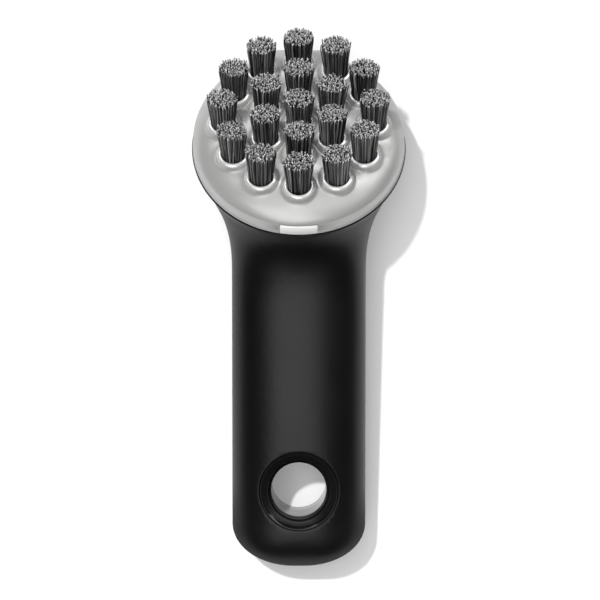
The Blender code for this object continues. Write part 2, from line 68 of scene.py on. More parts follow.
# Face of the plate: a gentle dome that rolls down to the rim and swells round each collar
DOME_SHARE = 0.16
ROLL_SHARPNESS = 7
ROLL_SOFTNESS = 0.72
SWELL_HEIGHT = 0.42 * MM
SWELL_START = 5.4 * MM
SWELL_REACH = 0.8 * MM
SWELL_LIMIT = 0.6 * MM
PIT_RADIUS = 4.9 * MM
PIT_DEPTH = 5.0 * MM

# Tufts and their collars
TUFT_RING = 24.6 * MM
TUFT_OFFSET = 1.5 * MM
COLLAR_HEIGHT = 1.9 * MM
# The highlight painted on each collar's bead: how far out it reaches and over how much it fades
BEAD_HIGHLIGHT_FOOT = 5.6 * MM
BEAD_HIGHLIGHT_FADE = 0.5 * MM
ROOT_DEPTH = 1.5 * MM
ROOT_SPREAD = 3.7 * MM
TIP_HEIGHT = 24.9 * MM
TIP_SPREAD = 4.85 * MM
TIP_FLATNESS = 0.76
TIP_SHIFT = 0.4 * MM
TIP_REACH = 4.5 * MM
TUFT_LEAN = 0.25 * MM

# Filaments. Stray and curl are for across the brush and along the slope, trim is how far a
# tip stops short of the tuft's height, and pale is the part of a length at its tip that is
# painted paler, a painted highlight where the cut ends catch the light
FILAMENTS = 230
FILAMENT_RADIUS = 0.195 * MM
TURN_STRAY = 0.15
STRAY = (0.28 * MM, 0.24 * MM)
CURL = (0.32 * MM, 0.25 * MM)
CURL_SHARPNESS = 12
BEND = 0.3
TRIM = 0.1 * MM
TRIM_AT_EDGE = 0.45 * MM
TRIM_UNEVENNESS = 0.13 * MM
LEAST_TRIM = 0.15 * MM
TONE_BIAS = 2.1
PALE_FROM = 0.95
PALE_TO = 0.995

# White tab
TAB_WIDTH = 12.4 * MM
TAB_THICKNESS = 1.5 * MM
TAB_LEAN = 0.9 * MM
TAB_CORNER = 1.4 * MM
TAB_FOOT = 0.15 * MM
TAB_EDGE = 0.22 * MM
TAB_FRONT_LEAN = 0.3 * MM
TAB_FRONT_CURVE = 1.6
TAB_ROUNDING = 1.0 * MM
TAB_CLEARANCE = 0.02 * MM
NOTCH_OVERCUT = 1.5 * MM
NOTCH_DROP = 1.0 * MM

# Handle
HALF_WIDTH = 22.2 * MM
HALF_THICKNESS = 13.4 * MM
HANDLE_RISE = math.radians(4.86)
HANDLE_END_Y = -89.05 * MM
END_ROUNDING = 15.0 * MM
HEEL_Y = -76.0 * MM
HEEL_FLAT = 0.5 * MM
HANDLE_FULLNESS = 2.3
NECK_START_Y = -2.0 * MM
FOOT_REAR_Y = 49.0 * MM
FOOT_FRONT_Y = 63.0 * MM
PIVOT_RADIUS = 50.0 * MM
NECK_LENGTHENING = 3.1
RIM_EASING = 1.25
NECK_PULL = 1.25
NECK_RIM_PULL = 0.8
BOWL_PULL = 1.3
BOWL_RIM_PULL = 0.9
MOUTH_ROUNDING_REAR = 0.1 * MM
MOUTH_ROUNDING_FRONT = 0.35 * MM
TABLE_EDGE = 0.12 * MM
CORE_INSET = 2.8 * MM

# The grip's rounded end, seen from above and from the side
END_TRIM = 0.35 * MM
END_OUTLINE = 2.12
END_PROFILE = 3
END_FULLNESS = 1.8

# How dull the grip's steep sides are, from its end to its middle
DULL_UP_TO = 32.0 * MM
DULL_FADE = 20.0 * MM
DULL_LEAST = 0.2

# Hanging hole, with profiles of radius and depth under the grip's skin in millimetres
HOLE_CENTRE_Y = -62.1 * MM
HANG_MOUTH = 12.9 * MM
SATIN_FROM = (9.6 * MM, 10.4 * MM)
SATIN_TO = (12.3 * MM, 12.6 * MM)
MOUTH_FILLET = 0.8 * MM
BEAM_HOLE = [(0.0, -4.0), (12.3, -4.0)]
LINING_FACE = [
    (12.87, 6.0), (12.87, 0.8), (12.84, 0.68), (12.75, 0.61), (12.63, 0.63), (12.5, 0.74),
    (12.0, 1.23), (11.5, 1.75), (11.0, 2.27), (10.6, 2.68), (10.48, 2.77), (10.38, 2.81),
    (10.31, 2.87), (10.28, 2.98), (10.2, 3.7), (10.1, 4.3), (9.98, 4.65), (9.8, 4.9),
    (9.55, 5.05), (9.3, 5.13), (9.16, 5.22), (9.1, 5.4), (9.08, 6.6), (9.02, 7.4),
    (9.07, 8.2), (9.0, 9.4), (9.06, 10.4), (9.0, 11.6), (9.04, 12.6),
]
LINING_BACK = [
    (9.0, 12.0), (9.05, 8.0), (9.1, 1.2), (9.15, 0.93), (9.3, 0.71), (9.52, 0.56),
    (9.8, 0.5), (11.5, 0.5), (12.7, 0.52), (12.84, 0.6), (12.87, 0.75),
]

# Profiles in the head's frame, of radius and height in millimetres
PLATE_WALL = [
    (0.0, 0.0), (20.0, 0.0), (34.6, 0.0), (34.88, 0.06), (34.98, 0.18), (35.0, 0.3),
    (35.0, 0.55), (34.97, 0.69), (34.9, 0.79), (34.82, 0.86), (34.75, 0.96), (34.71, 1.1),
    (34.7, 1.3), (34.7, 2.4), (34.7, 3.6), (34.7, 4.4),
]
GRIP_MOUTH = [(33.4, -0.3), (33.2, -0.5), (33.2, -2.4), (20.0, -2.4), (0.0, -2.4)]

# Stage
CAMERA_PLACE = (0.38 * MM, -0.38 * MM, 900 * MM)
CAMERA_LENS = 159.2
CAMERA_SENSOR = 36.0
SUN_PLACE = (-0.3, 0.365, 1.0)
SUN_LEVEL = 2.3
SUN_SPREAD = math.radians(2.8)
TABLE_RADIUS = 6.0
TABLE_GAP = 0.02 * MM
TABLE_GLOW = 0.16

AROUND = 2 * math.pi


# Side view of the body, in the vertical plane x = 0, as (y, z)

def head_point(slope_y, height):
    """A point of the head's own frame, with x = 0, in the side view."""
    y = HEAD_CENTRE_Y + slope_y * math.cos(HEAD_TILT) + height * math.sin(HEAD_TILT)
    z = HEAD_CENTRE_Z - slope_y * math.sin(HEAD_TILT) + height * math.cos(HEAD_TILT)
    return Vector((y, z))


def axis_z(y):
    """Height of the handle's straight middle line."""
    return HALF_THICKNESS - HEEL_FLAT + (y - HEEL_Y) * math.tan(HANDLE_RISE)


PIVOT = head_point(-PIVOT_RADIUS, MOUTH_LEVEL)
DOWN = Vector((0.0, -1.0))
AHEAD = Vector((1.0, 0.0))
ALONG_HANDLE = Vector((math.cos(HANDLE_RISE), math.sin(HANDLE_RISE)))
SQUARE_TO_FACE = Vector((math.sin(HEAD_TILT), math.cos(HEAD_TILT)))


def sweep(start, start_pull, end, end_pull, steps=140):
    """Points of the smooth curve that leaves start and arrives at end along the two pulls."""
    points = []
    for i in range(1, steps + 1):
        t = i / steps
        points.append(
            (2 * t**3 - 3 * t**2 + 1) * start
            + (t**3 - 2 * t**2 + t) * start_pull
            + (3 * t**2 - 2 * t**3) * end
            + (t**3 - t**2) * end_pull
        )
    return points


def handle_line(side):
    """Where the straight handle's back, side 1, or belly, side -1, starts and ends."""
    return [
        Vector((y, axis_z(y) + side * HALF_THICKNESS))
        for y in (HANDLE_END_Y - 1 * MM, NECK_START_Y)
    ]


def top_line():
    """From the handle's end along its back, up to the rear of the head's mouth."""
    start, neck = handle_line(1)
    rim = head_point(-GRIP_RIM, MOUTH_LEVEL)
    reach = (rim - neck).length
    return [start, neck] + sweep(
        neck, ALONG_HANDLE * reach * NECK_PULL, rim, SQUARE_TO_FACE * reach * NECK_RIM_PULL
    )


def under_line():
    """From the handle's end along its belly, under the foot, up to the mouth's front."""
    start, neck = handle_line(-1)
    foot_rear = Vector((FOOT_REAR_Y, -HEEL_FLAT))
    foot_front = Vector((FOOT_FRONT_Y, -HEEL_FLAT))
    rim = head_point(GRIP_RIM, MOUTH_LEVEL)
    reach = (foot_rear - neck).length
    run = (rim - foot_front).length
    hollow = sweep(neck, ALONG_HANDLE * reach, foot_rear, AHEAD * reach)
    bowl = sweep(
        foot_front, AHEAD * run * BOWL_PULL, rim, SQUARE_TO_FACE * run * BOWL_RIM_PULL
    )
    return [start, neck] + hollow + [foot_front] + bowl


def moved_in(line, inset, side):
    """The line moved square to itself: side 1 moves it up, -1 down."""
    moved = []
    for i, point in enumerate(line):
        run = (line[min(i + 1, len(line) - 1)] - line[max(i - 1, 0)]).normalized()
        moved.append(point + Vector((-run.y, run.x)) * inset * side)
    return moved


def meet(line, origin, direction):
    """How far along the direction from the origin the line is met."""
    best = None
    for a, b in zip(line, line[1:]):
        run = b - a
        cross = direction.x * run.y - direction.y * run.x
        if abs(cross) < 1e-12:
            continue
        offset = a - origin
        along = (offset.x * run.y - offset.y * run.x) / cross
        share = (offset.x * direction.y - offset.y * direction.x) / cross
        if -1e-6 <= share <= 1 + 1e-6 and (best is None or abs(along) < abs(best)):
            best = along
    return best


def squircle(angle, fullness):
    """A point of an oval of half width 1: fullness 2 is a circle, more is squarer."""
    c, s = math.cos(angle), math.sin(angle)
    x = math.copysign(abs(c) ** (2 / fullness), c)
    y = math.copysign(abs(s) ** (2 / fullness), s)
    return x, y


def skin_height(x):
    """Height of the handle's skin over its middle line, at x from that line."""
    share = min(abs(x) / HALF_WIDTH, 1.0)
    return HALF_THICKNESS * (1 - share**HANDLE_FULLNESS) ** (1 / HANDLE_FULLNESS)


def neck_half_width(share):
    """Half width from the handle, share 0, to the round rim, share 1."""
    flare = 1 - (1 - share**NECK_LENGTHENING) ** RIM_EASING
    return HALF_WIDTH + (GRIP_RIM - HALF_WIDTH) * flare


# Frames in which the pieces are made

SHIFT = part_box("grip")[0].y - HANDLE_END_Y
SET_DOWN = Matrix.Translation((0.0, SHIFT, 0.0))
HEAD = (
    SET_DOWN
    @ Matrix.Translation((0.0, HEAD_CENTRE_Y, HEAD_CENTRE_Z))
    @ Matrix.Rotation(-HEAD_TILT, 4, "X")
)
HANG = (
    SET_DOWN
    @ Matrix.Translation((0.0, HOLE_CENTRE_Y, axis_z(HOLE_CENTRE_Y)))
    @ Matrix.Rotation(HANDLE_RISE, 4, "X")
)


# Making of pieces

def sheet(columns, rows):
    """A welded grid whose rows are functions that give a point for a turn of 0 to 1."""
    bm = bmesh.new()
    last = len(rows) - 1
    bmesh.ops.create_grid(bm, x_segments=columns, y_segments=last, size=0.5)
    for vert in bm.verts:
        row = rows[round((vert.co.y + 0.5) * last)]
        vert.co = row((vert.co.x + 0.5) % 1.0)
    bmesh.ops.remove_doubles(bm, verts=bm.verts, dist=0.001 * MM)
    return bm


def finished(name, bm, place, crease=40):
    """Sets a modelled shape down as an object, shaded smooth up to the crease angle."""
    bmesh.ops.transform(bm, matrix=place, verts=bm.verts)
    bmesh.ops.recalc_face_normals(bm, faces=bm.faces)
    mesh = bpy.data.meshes.new(name)
    bm.to_mesh(mesh)
    bm.free()
    mesh.shade_smooth()
    mesh.set_sharp_from_angle(angle=math.radians(crease))
    piece = bpy.data.objects.new(name, mesh)
    bpy.context.scene.collection.objects.link(piece)
    return piece


def cut(piece, *cutters):
    """Cuts the shapes out of the piece and removes them."""
    for cutter in cutters:
        modifier = piece.modifiers.new("cut", "BOOLEAN")
        modifier.operation = "DIFFERENCE"
        modifier.solver = "MANIFOLD"
        modifier.object = cutter
    shape = piece.evaluated_get(bpy.context.evaluated_depsgraph_get())
    mesh = bpy.data.meshes.new_from_object(shape)
    piece.modifiers.clear()
    piece.data = mesh
    for cutter in cutters:
        bpy.data.objects.remove(cutter, do_unlink=True)


def dress(piece, finish, slot, *nodes):
    """Gives a piece its finish, its body and the solids that it stands for. The slot is not
    used.
    """
    piece.data.materials.clear()
    piece.data.materials.append(finish)
    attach(piece, "root")
    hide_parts(*nodes)


# Materials

class Value:
    """A shader value that Python's own operators work on."""

    def __init__(self, nodes, socket):
        self.nodes = nodes
        self.socket = socket

    def combine(self, operation, first, second):
        return self.nodes.node("Math", {"operation": operation}, {0: first, 1: second})

    def __add__(self, other):
        return self.combine("ADD", self, other)

    def __radd__(self, other):
        return self.combine("ADD", other, self)

    def __sub__(self, other):
        return self.combine("SUBTRACT", self, other)

    def __rsub__(self, other):
        return self.combine("SUBTRACT", other, self)

    def __mul__(self, other):
        return self.combine("MULTIPLY", self, other)

    def __rmul__(self, other):
        return self.combine("MULTIPLY", other, self)


class Nodes:
    """The nodes of a finish or of the room."""

    def __init__(self, tree):
        self.tree = tree

    def node(self, kind, settings, sockets, output=0):
        made = self.tree.nodes.new("ShaderNode" + kind)
        for name, value in settings.items():
            setattr(made, name, value)
        for socket, value in sockets.items():
            self.feed(made.inputs[socket], value)
        return Value(self, made.outputs[output])

    def feed(self, socket, value):
        if isinstance(value, Value):
            self.tree.links.new(value.socket, socket)
        else:
            socket.default_value = value

    def between(self, value, low, high):
        """Runs smoothly from 0 at low to 1 at high."""
        sockets = {"Value": value, "From Min": low, "From Max": high}
        return self.node("MapRange", {"interpolation_type": "SMOOTHSTEP"}, sockets)


class Finish(Nodes):
    """A material under construction, with its constants on the shader's own sockets."""

    def __init__(self, name, **constants):
        self.material = bpy.data.materials.new(name)
        self.material.use_nodes = True
        super().__init__(self.material.node_tree)
        self.shader = self.tree.nodes["Principled BSDF"]
        self.wear(**constants)
        self.place = self.node("TexCoord", {}, {}, "Object")

    def wear(self, **sockets):
        for socket, value in sockets.items():
            self.feed(self.shader.inputs[socket.replace("_", " ")], value)
        return self.material

    def vector(self, operation, first, second):
        return self.node("VectorMath", {"operation": operation}, {0: first, 1: second})

    def noise(self, size, detail=2.0):
        """Clouds of about that size, from 0 to 1."""
        sockets = {"Vector": self.place, "Scale": 1 / size, "Detail": detail}
        return self.node("TexNoise", {}, sockets, "Fac")

    def attribute(self, name):
        """A number that the piece holds at each of its points."""
        return self.node("Attribute", {"attribute_name": name}, {}, "Fac")

    def blend(self, share, first, second):
        sockets = {0: share, 6: first, 7: second}
        return self.node("Mix", {"data_type": "RGBA"}, sockets, 2)

    def bump(self, height, depth):
        """A relief of that depth, in metres, from a height of 0 to 1."""
        return self.node("Bump", {}, {"Height": height, "Distance": depth}, "Normal")


def grey(level, warmth=0.0):
    """A grey colour: warmth above 0 is redder, below 0 bluer."""
    return (level * (1 + warmth), level, level * (1 - warmth), 1.0)


def soft_rubber():
    """Soft moulded rubber: fine grain, faint clouds, specks of dust, duller on steep sides."""
    rubber = Finish("soft black rubber", Specular_IOR_Level=0.36)
    grain = rubber.noise(0.22 * MM, 3.0)
    clouds = rubber.noise(14 * MM, 3.0)
    mottle = rubber.noise(1.8 * MM, 2.0)
    dull = rubber.attribute("dull")
    dust = rubber.between(rubber.noise(0.45 * MM, 1.0), 0.74, 0.8)
    colour = rubber.blend(clouds, grey(0.0015, -0.02), grey(0.0025, -0.02))
    colour = rubber.blend(dust * 0.2, colour, grey(0.06))
    return rubber.wear(
        Base_Color=colour,
        Roughness=0.3 + 0.08 * clouds + 0.06 * grain + 0.6 * dull,
        Normal=rubber.bump(0.3 * grain + 0.7 * mottle, 0.05 * MM),
    )


def gloss_plastic():
    """Hard black plastic: polished in the hanging hole's bore, satin on its funnel."""
    plastic = Finish("hard black plastic", Specular_IOR_Level=0.24)
    clouds = plastic.noise(3 * MM, 2.0)
    colour = plastic.blend(clouds, grey(0.005), grey(0.007))
    from_axis = plastic.vector("SUBTRACT", plastic.place, HANG.translation)
    flat = plastic.vector("MULTIPLY", from_axis, (1.0, 1.0, 0.0))
    radius = plastic.node("VectorMath", {"operation": "LENGTH"}, {0: flat}, "Value")
    satin = plastic.between(radius, *SATIN_FROM) - plastic.between(radius, *SATIN_TO)
    return plastic.wear(
        Base_Color=colour,
        Roughness=0.08 + 0.06 * plastic.noise(0.8 * MM, 2.0) + 0.25 * satin,
        Normal=plastic.bump(clouds, 0.01 * MM),
    )


def plate_plastic():
    """Silver grey moulded plastic, satin and finely textured, smoother on the collars' beads,
    where a highlight is painted on in a paler grey.
    """
    plastic = Finish("light grey plastic", Metallic=0.36)
    clouds = plastic.noise(9 * MM, 3.0)
    grain = plastic.noise(0.3 * MM, 2.0)
    bead_highlight = plastic.attribute("bead_highlight")
    colour = plastic.blend(clouds, grey(0.4, 0.008), grey(0.44, 0.008))
    # Painted highlight: the collars' beads are painted a paler grey, standing in for the lamps'
    # gleam on them
    colour = plastic.blend(0.7 * bead_highlight, colour, grey(0.72, 0.008))
    return plastic.wear(
        Base_Color=colour,
        Roughness=0.27 + 0.1 * grain - 0.1 * bead_highlight,
        Normal=plastic.bump(grain, 0.008 * MM),
    )


def white_plastic():
    """Near white plastic with a slightly uneven gloss."""
    plastic = Finish("white plastic")
    clouds = plastic.noise(4 * MM, 2.0)
    colour = plastic.blend(clouds, grey(0.9, 0.005), grey(0.94, 0.005))
    return plastic.wear(
        Base_Color=colour,
        Roughness=0.26 + 0.1 * plastic.noise(0.4 * MM),
        Normal=plastic.bump(clouds, 0.01 * MM),
    )


def nylon():
    """Dark nylon with its tips painted pale as a highlight, and a tone of its own in each
    filament.
    """
    filament = Finish("dark grey nylon", Specular_IOR_Level=0.45)
    tip = filament.attribute("tip")
    tone = filament.attribute("tone")
    body = filament.blend(tone, grey(0.002), grey(0.3))
    # Painted highlight: the tips are painted paler where they catch the light
    painted_tip_highlight = filament.blend(tone, grey(0.18), grey(0.72))
    colour = filament.blend(filament.between(tip, 0.15, 0.95), body, painted_tip_highlight)
    return filament.wear(Base_Color=colour, Roughness=0.32 + 0.2 * tone)


def zinc():
    """Drawn wire with fine scratches, for the anchors under the tufts."""
    wire = Finish("zinc wire", Metallic=1.0)
    scratches = wire.noise(0.25 * MM, 4.0)
    colour = wire.blend(scratches, grey(0.55), grey(0.68))
    return wire.wear(Base_Color=colour, Roughness=0.3 + 0.2 * scratches)


# The grip and the core inside it

def body_row(origin, direction, near, far, half_width, fullness):
    """One ring of the body, in the plane of x and the direction."""
    centre = origin + direction * (near + far) / 2
    depth = (far - near) / 2

    def point(turn):
        across, along = squircle(AROUND * turn, fullness)
        spot = centre + direction * depth * along
        return Vector((half_width * across, spot.x, spot.y))

    return point


def body_rows(inset):
    """Rings from the pole of the handle's end to just under the head's mouth."""
    top = moved_in(top_line(), inset, -1)
    under = moved_in(under_line(), inset, 1)

    def upright(y, scale, depth_scale, fullness):
        middle = Vector((y, axis_z(y)))
        near = meet(top, middle, DOWN) * depth_scale
        far = meet(under, middle, DOWN) * depth_scale
        width = (HALF_WIDTH - inset) * scale
        return body_row(middle, DOWN, near, far, width, fullness)

    round_start = HANDLE_END_Y + END_ROUNDING
    rows = []
    end_steps = 26
    for i in range(end_steps):
        reach = math.sin(math.radians(90) * (1 - i / end_steps))
        y = round_start - (END_ROUNDING - END_TRIM - inset) * reach
        narrowing = (1 - reach**END_OUTLINE) ** (1 / END_OUTLINE)
        thinning = (1 - reach**END_PROFILE) ** (1 / END_PROFILE)
        rows.append(upright(y, narrowing, thinning, HANDLE_FULLNESS + END_FULLNESS * reach**2))
    straight_steps = 40
    for i in range(straight_steps + 1):
        y = round_start + (PIVOT.x - round_start) * i / straight_steps
        rows.append(upright(y, 1.0, 1.0, HANDLE_FULLNESS))
    swing = math.radians(90) - HEAD_TILT
    neck_steps = 84
    for i in range(1, neck_steps):
        share = i / neck_steps
        angle = math.radians(-90) + swing * share
        direction = Vector((math.cos(angle), math.sin(angle)))
        near = meet(top, PIVOT, direction)
        far = meet(under, PIVOT, direction)
        width = neck_half_width(share) - inset
        fullness = HANDLE_FULLNESS + (2 - HANDLE_FULLNESS) * share
        rows.append(body_row(PIVOT, direction, near, far, width, fullness))
    return rows


def mouth_row(radius, level, ease=0.0, ease_in=0.0):
    """A ring square to the face. Ease lowers and narrows it more where the wall is longer."""
    def point(turn):
        c, s = math.cos(AROUND * turn), math.sin(AROUND * turn)
        growth = MOUTH_ROUNDING_FRONT - MOUTH_ROUNDING_REAR
        rounding = MOUTH_ROUNDING_REAR + growth * (1 + s) / 2
        reach = radius - ease_in * rounding
        spot = head_point(reach * s, level - ease * rounding)
        return Vector((reach * c, spot.x, spot.y))

    return point


def on_the_table(bm):
    """Flattens the heel and the foot where they rest, with a soft edge."""
    for vert in bm.verts:
        vert.co.z = (vert.co.z + math.hypot(vert.co.z, TABLE_EDGE)) / 2


def hole_row(radius, depth, side):
    """A ring round the hanging hole that follows the handle's skin, in the hole's frame."""
    def point(turn):
        x, y = radius * math.cos(AROUND * turn), radius * math.sin(AROUND * turn)
        return Vector((x, y, side * (skin_height(x) - depth)))

    return point


def hole_rows(profile, side):
    """Rings for a profile in millimetres, on the face, side 1, or the back, side -1."""
    return [hole_row(radius * MM, depth * MM, side) for radius, depth in profile]


def hole_cutter():
    """The hole in the grip: a straight wall with a rounded edge where it leaves the skin."""
    profile = [(0.0, -4.0), (15.4, -4.0), (14.6, -0.42)]
    for degrees in (25, 40, 55, 72, 90):
        lean = math.radians(degrees)
        radius = HANG_MOUTH + MOUTH_FILLET * (1 - math.sin(lean))
        depth = MOUTH_FILLET * (1 - math.cos(lean))
        profile.append((radius / MM, depth / MM))
    rows = hole_rows(profile, 1) + hole_rows(profile[::-1], -1)
    return finished("hole_cutter", sheet(144, rows), HANG)


def make_grip(rubber):
    """The soft skin, open at the head, with the hanging hole cut through it."""
    rows = body_rows(0.0)
    for degrees in (0, 30, 60, 90):
        lean = math.radians(degrees)
        rows.append(mouth_row(GRIP_RIM, MOUTH_LEVEL, 1 - math.sin(lean), 1 - math.cos(lean)))
    rows += [mouth_row(radius * MM, level * MM) for radius, level in GRIP_MOUTH]
    bm = sheet(160, rows)
    on_the_table(bm)
    grip = finished("soft_grip", bm, SET_DOWN)
    cut(grip, hole_cutter())
    dull = grip.data.attributes.new("dull", "FLOAT", "POINT")
    for vert in grip.data.vertices:
        from_end = vert.co.y - SHIFT - HANDLE_END_Y
        near_end = min(max((DULL_UP_TO - from_end) / DULL_FADE, DULL_LEAST), 1.0)
        dull.data[vert.index].value = near_end * (1 - max(vert.normal.z, 0.0))
    dress(grip, rubber, "soft_black_grip", "grip")


def make_core(plastic):
    """The beam inside the grip and the lining of the hanging hole."""
    rows = body_rows(CORE_INSET)[::2]
    rows += [mouth_row(GRIP_RIM - CORE_INSET, -CORE_INSET), mouth_row(0.0, -CORE_INSET)]
    beam = finished("core_beam", sheet(64, rows), SET_DOWN)
    tube_rows = hole_rows(BEAM_HOLE, 1) + hole_rows(BEAM_HOLE[::-1], -1)
    cut(beam, finished("beam_cutter", sheet(96, tube_rows), HANG))
    dress(beam, plastic, "hard_black_core", "handle_core")

    lining_rows = hole_rows(LINING_FACE, 1) + hole_rows(LINING_BACK, -1)
    lining_rows.append(lining_rows[0])
    lining = finished("hanging_hole_lining", sheet(160, lining_rows), HANG)
    dress(lining, plastic, "hard_black_core", "handle_core")


# The bristle plate

def crown_height(radius):
    """Height of the plate's face, crowned and rolled down to its rim."""
    share = min(radius / WALL_RADIUS, 1.0)
    fall = PLATE_CROWN - WALL_HEIGHT
    dome = share**2
    roll = 1 - (1 - share**ROLL_SHARPNESS) ** ROLL_SOFTNESS
    return PLATE_CROWN - fall * (DOME_SHARE * dome + (1 - DOME_SHARE) * roll)


def tuft_places():
    """One tuft in the middle, a ring of six and a ring of twelve."""
    places = [(0.0, TUFT_OFFSET)]
    for count, radius, turn in ((6, TUFT_RING / 2, 30), (12, TUFT_RING, 0)):
        for i in range(count):
            angle = math.radians(turn + 360 * i / count)
            places.append((radius * math.cos(angle), TUFT_OFFSET + radius * math.sin(angle)))
    return places


TUFT_PLACES = tuft_places()


def swell(x, y):
    """How far the face swells up towards the collars round a point."""
    rise = 0.0
    for place in TUFT_PLACES:
        away = math.hypot(x - place[0], y - place[1])
        rise += SWELL_HEIGHT * math.exp(-max(away - SWELL_START, 0.0) / SWELL_REACH)
    return min(rise, SWELL_LIMIT)


def outline_radius(angle, radius, reach):
    """Outline of the plate: a circle with a straight scraping edge at the front."""
    off_front = abs((angle - math.pi / 2 + math.pi) % AROUND - math.pi)
    front = radius + reach
    corner_distance = front / math.cos(NOSE_HALF_ANGLE)
    tangent = NOSE_HALF_ANGLE + math.acos(min(radius / corner_distance, 1.0))
    if off_front <= NOSE_HALF_ANGLE:
        return front / math.cos(off_front)
    if off_front <= tangent:
        return radius / math.cos(tangent - off_front)
    return radius


def plate_row(radius, height):
    """A ring of the plate, whose outline turns from a circle to the rim's going outwards."""
    fade = max(0.0, min(1.0, (radius - TUFT_RING) / (WALL_RADIUS - TUFT_RING)))

    def point(turn):
        angle = AROUND * turn
        reach = outline_radius(angle, radius, NOSE_REACH * fade) if radius else 0.0
        return Vector((reach * math.cos(angle), reach * math.sin(angle), height))

    return point


def bent_block(grow, bevel):
    """The tab, bent round the rim at the back of the plate, or its notch if it has to grow."""
    bm = bmesh.new()
    bmesh.ops.create_cube(bm, size=1.0)
    width = TAB_WIDTH + 2 * grow
    bottom = TAB_FOOT - (NOTCH_DROP if grow else 0.0)
    top = WALL_HEIGHT + grow
    depth = TAB_THICKNESS + (grow + NOTCH_OVERCUT if grow else 0.0)
    for vert in bm.verts:
        vert.co.x *= width
        vert.co.y = (vert.co.y + 0.5) * depth
        vert.co.z = bottom if vert.co.z < 0 else top
    ends = [
        edge for edge in bm.edges
        if all(vert.co.z == top for vert in edge.verts)
        and edge.verts[0].co.x == edge.verts[1].co.x
    ]
    bmesh.ops.bevel(
        bm, geom=ends, affect="EDGES", offset=TAB_CORNER + grow, offset_type="OFFSET",
        segments=8, profile=0.5, material=-1,
    )
    if bevel:
        front = [
            edge for edge in bm.edges
            if all(vert.co.y < 1e-6 for vert in edge.verts)
            and sum(face.normal.y < -0.5 for face in edge.link_faces) == 1
        ]
        bmesh.ops.bevel(
            bm, geom=front, affect="EDGES", offset=bevel, offset_type="OFFSET",
            segments=3, profile=0.5, material=-1,
        )
    bends = 8
    for i in range(1 - bends, bends):
        bmesh.ops.bisect_plane(
            bm, geom=bm.verts[:] + bm.edges[:] + bm.faces[:], dist=1e-7,
            plane_co=(i / bends * (width / 2 - TAB_CORNER), 0, 0), plane_no=(1, 0, 0),
        )
    rounded_heights = (3.8, 4.15, 4.4, 4.6, 4.75, 4.85) if bevel else ()
    for height in rounded_heights:
        bmesh.ops.bisect_plane(
            bm, geom=bm.verts[:] + bm.edges[:] + bm.faces[:], dist=1e-7,
            plane_co=(0, 0, height * MM), plane_no=(0, 0, 1),
        )
    for vert in bm.verts:
        x, inward, z = vert.co
        lean = TAB_FRONT_LEAN * (max(z, 0.0) / WALL_HEIGHT) ** TAB_FRONT_CURVE
        rise = z - WALL_HEIGHT + TAB_ROUNDING
        if bevel and rise > 0:
            lean += TAB_ROUNDING - math.sqrt(max(TAB_ROUNDING**2 - rise**2, 0.0))
        outer = RIM_RADIUS + NOTCH_OVERCUT if grow else RIM_RADIUS - lean
        if grow:
            radius = RIM_RADIUS - TAB_LEAN - TAB_THICKNESS - grow if inward > 0 else outer
        else:
            radius = outer - inward * (TAB_THICKNESS + TAB_LEAN - lean) / TAB_THICKNESS
        angle = x / RIM_RADIUS
        vert.co = Vector((radius * math.sin(angle), -radius * math.cos(angle), z))
    return bm


def make_plate(plastic):
    """The crowned plate with its rolled rim and lip, and a pit under each tuft."""
    rows = [plate_row(radius * MM, height * MM) for radius, height in PLATE_WALL]
    face_rows = 66
    crowding_at_rim = 1.35
    for i in range(face_rows + 1):
        radius = WALL_RADIUS * (1 - (i / face_rows) ** crowding_at_rim)
        rows.append(plate_row(radius, crown_height(radius)))
    bm = sheet(240, rows)
    for vert in bm.verts:
        if vert.co.z > WALL_HEIGHT + 1 * MM:
            vert.co.z += swell(vert.co.x, vert.co.y)
    for x, y in TUFT_PLACES:
        for vert in bm.verts:
            away = math.hypot(vert.co.x - x, vert.co.y - y)
            if vert.co.z > WALL_HEIGHT and away < PIT_RADIUS:
                vert.co.z -= PIT_DEPTH
    plate = finished("bristle_plate_face", bm, HEAD)
    cut(plate, finished("notch_cutter", bent_block(TAB_CLEARANCE, 0.0), HEAD))
    dress(plate, plastic, "light_grey_plate", "bristle_plate")


def collar_row(place, radius, height, follow):
    """A ring of a collar. Follow 1 measures the height from the face below, 0 from the base."""
    base = crown_height(math.hypot(*place))

    def point(turn):
        x = place[0] + radius * math.cos(AROUND * turn)
        y = place[1] + radius * math.sin(AROUND * turn)
        face = crown_height(math.hypot(x, y))
        return Vector((x, y, height + base + (face - base) * follow))

    return point


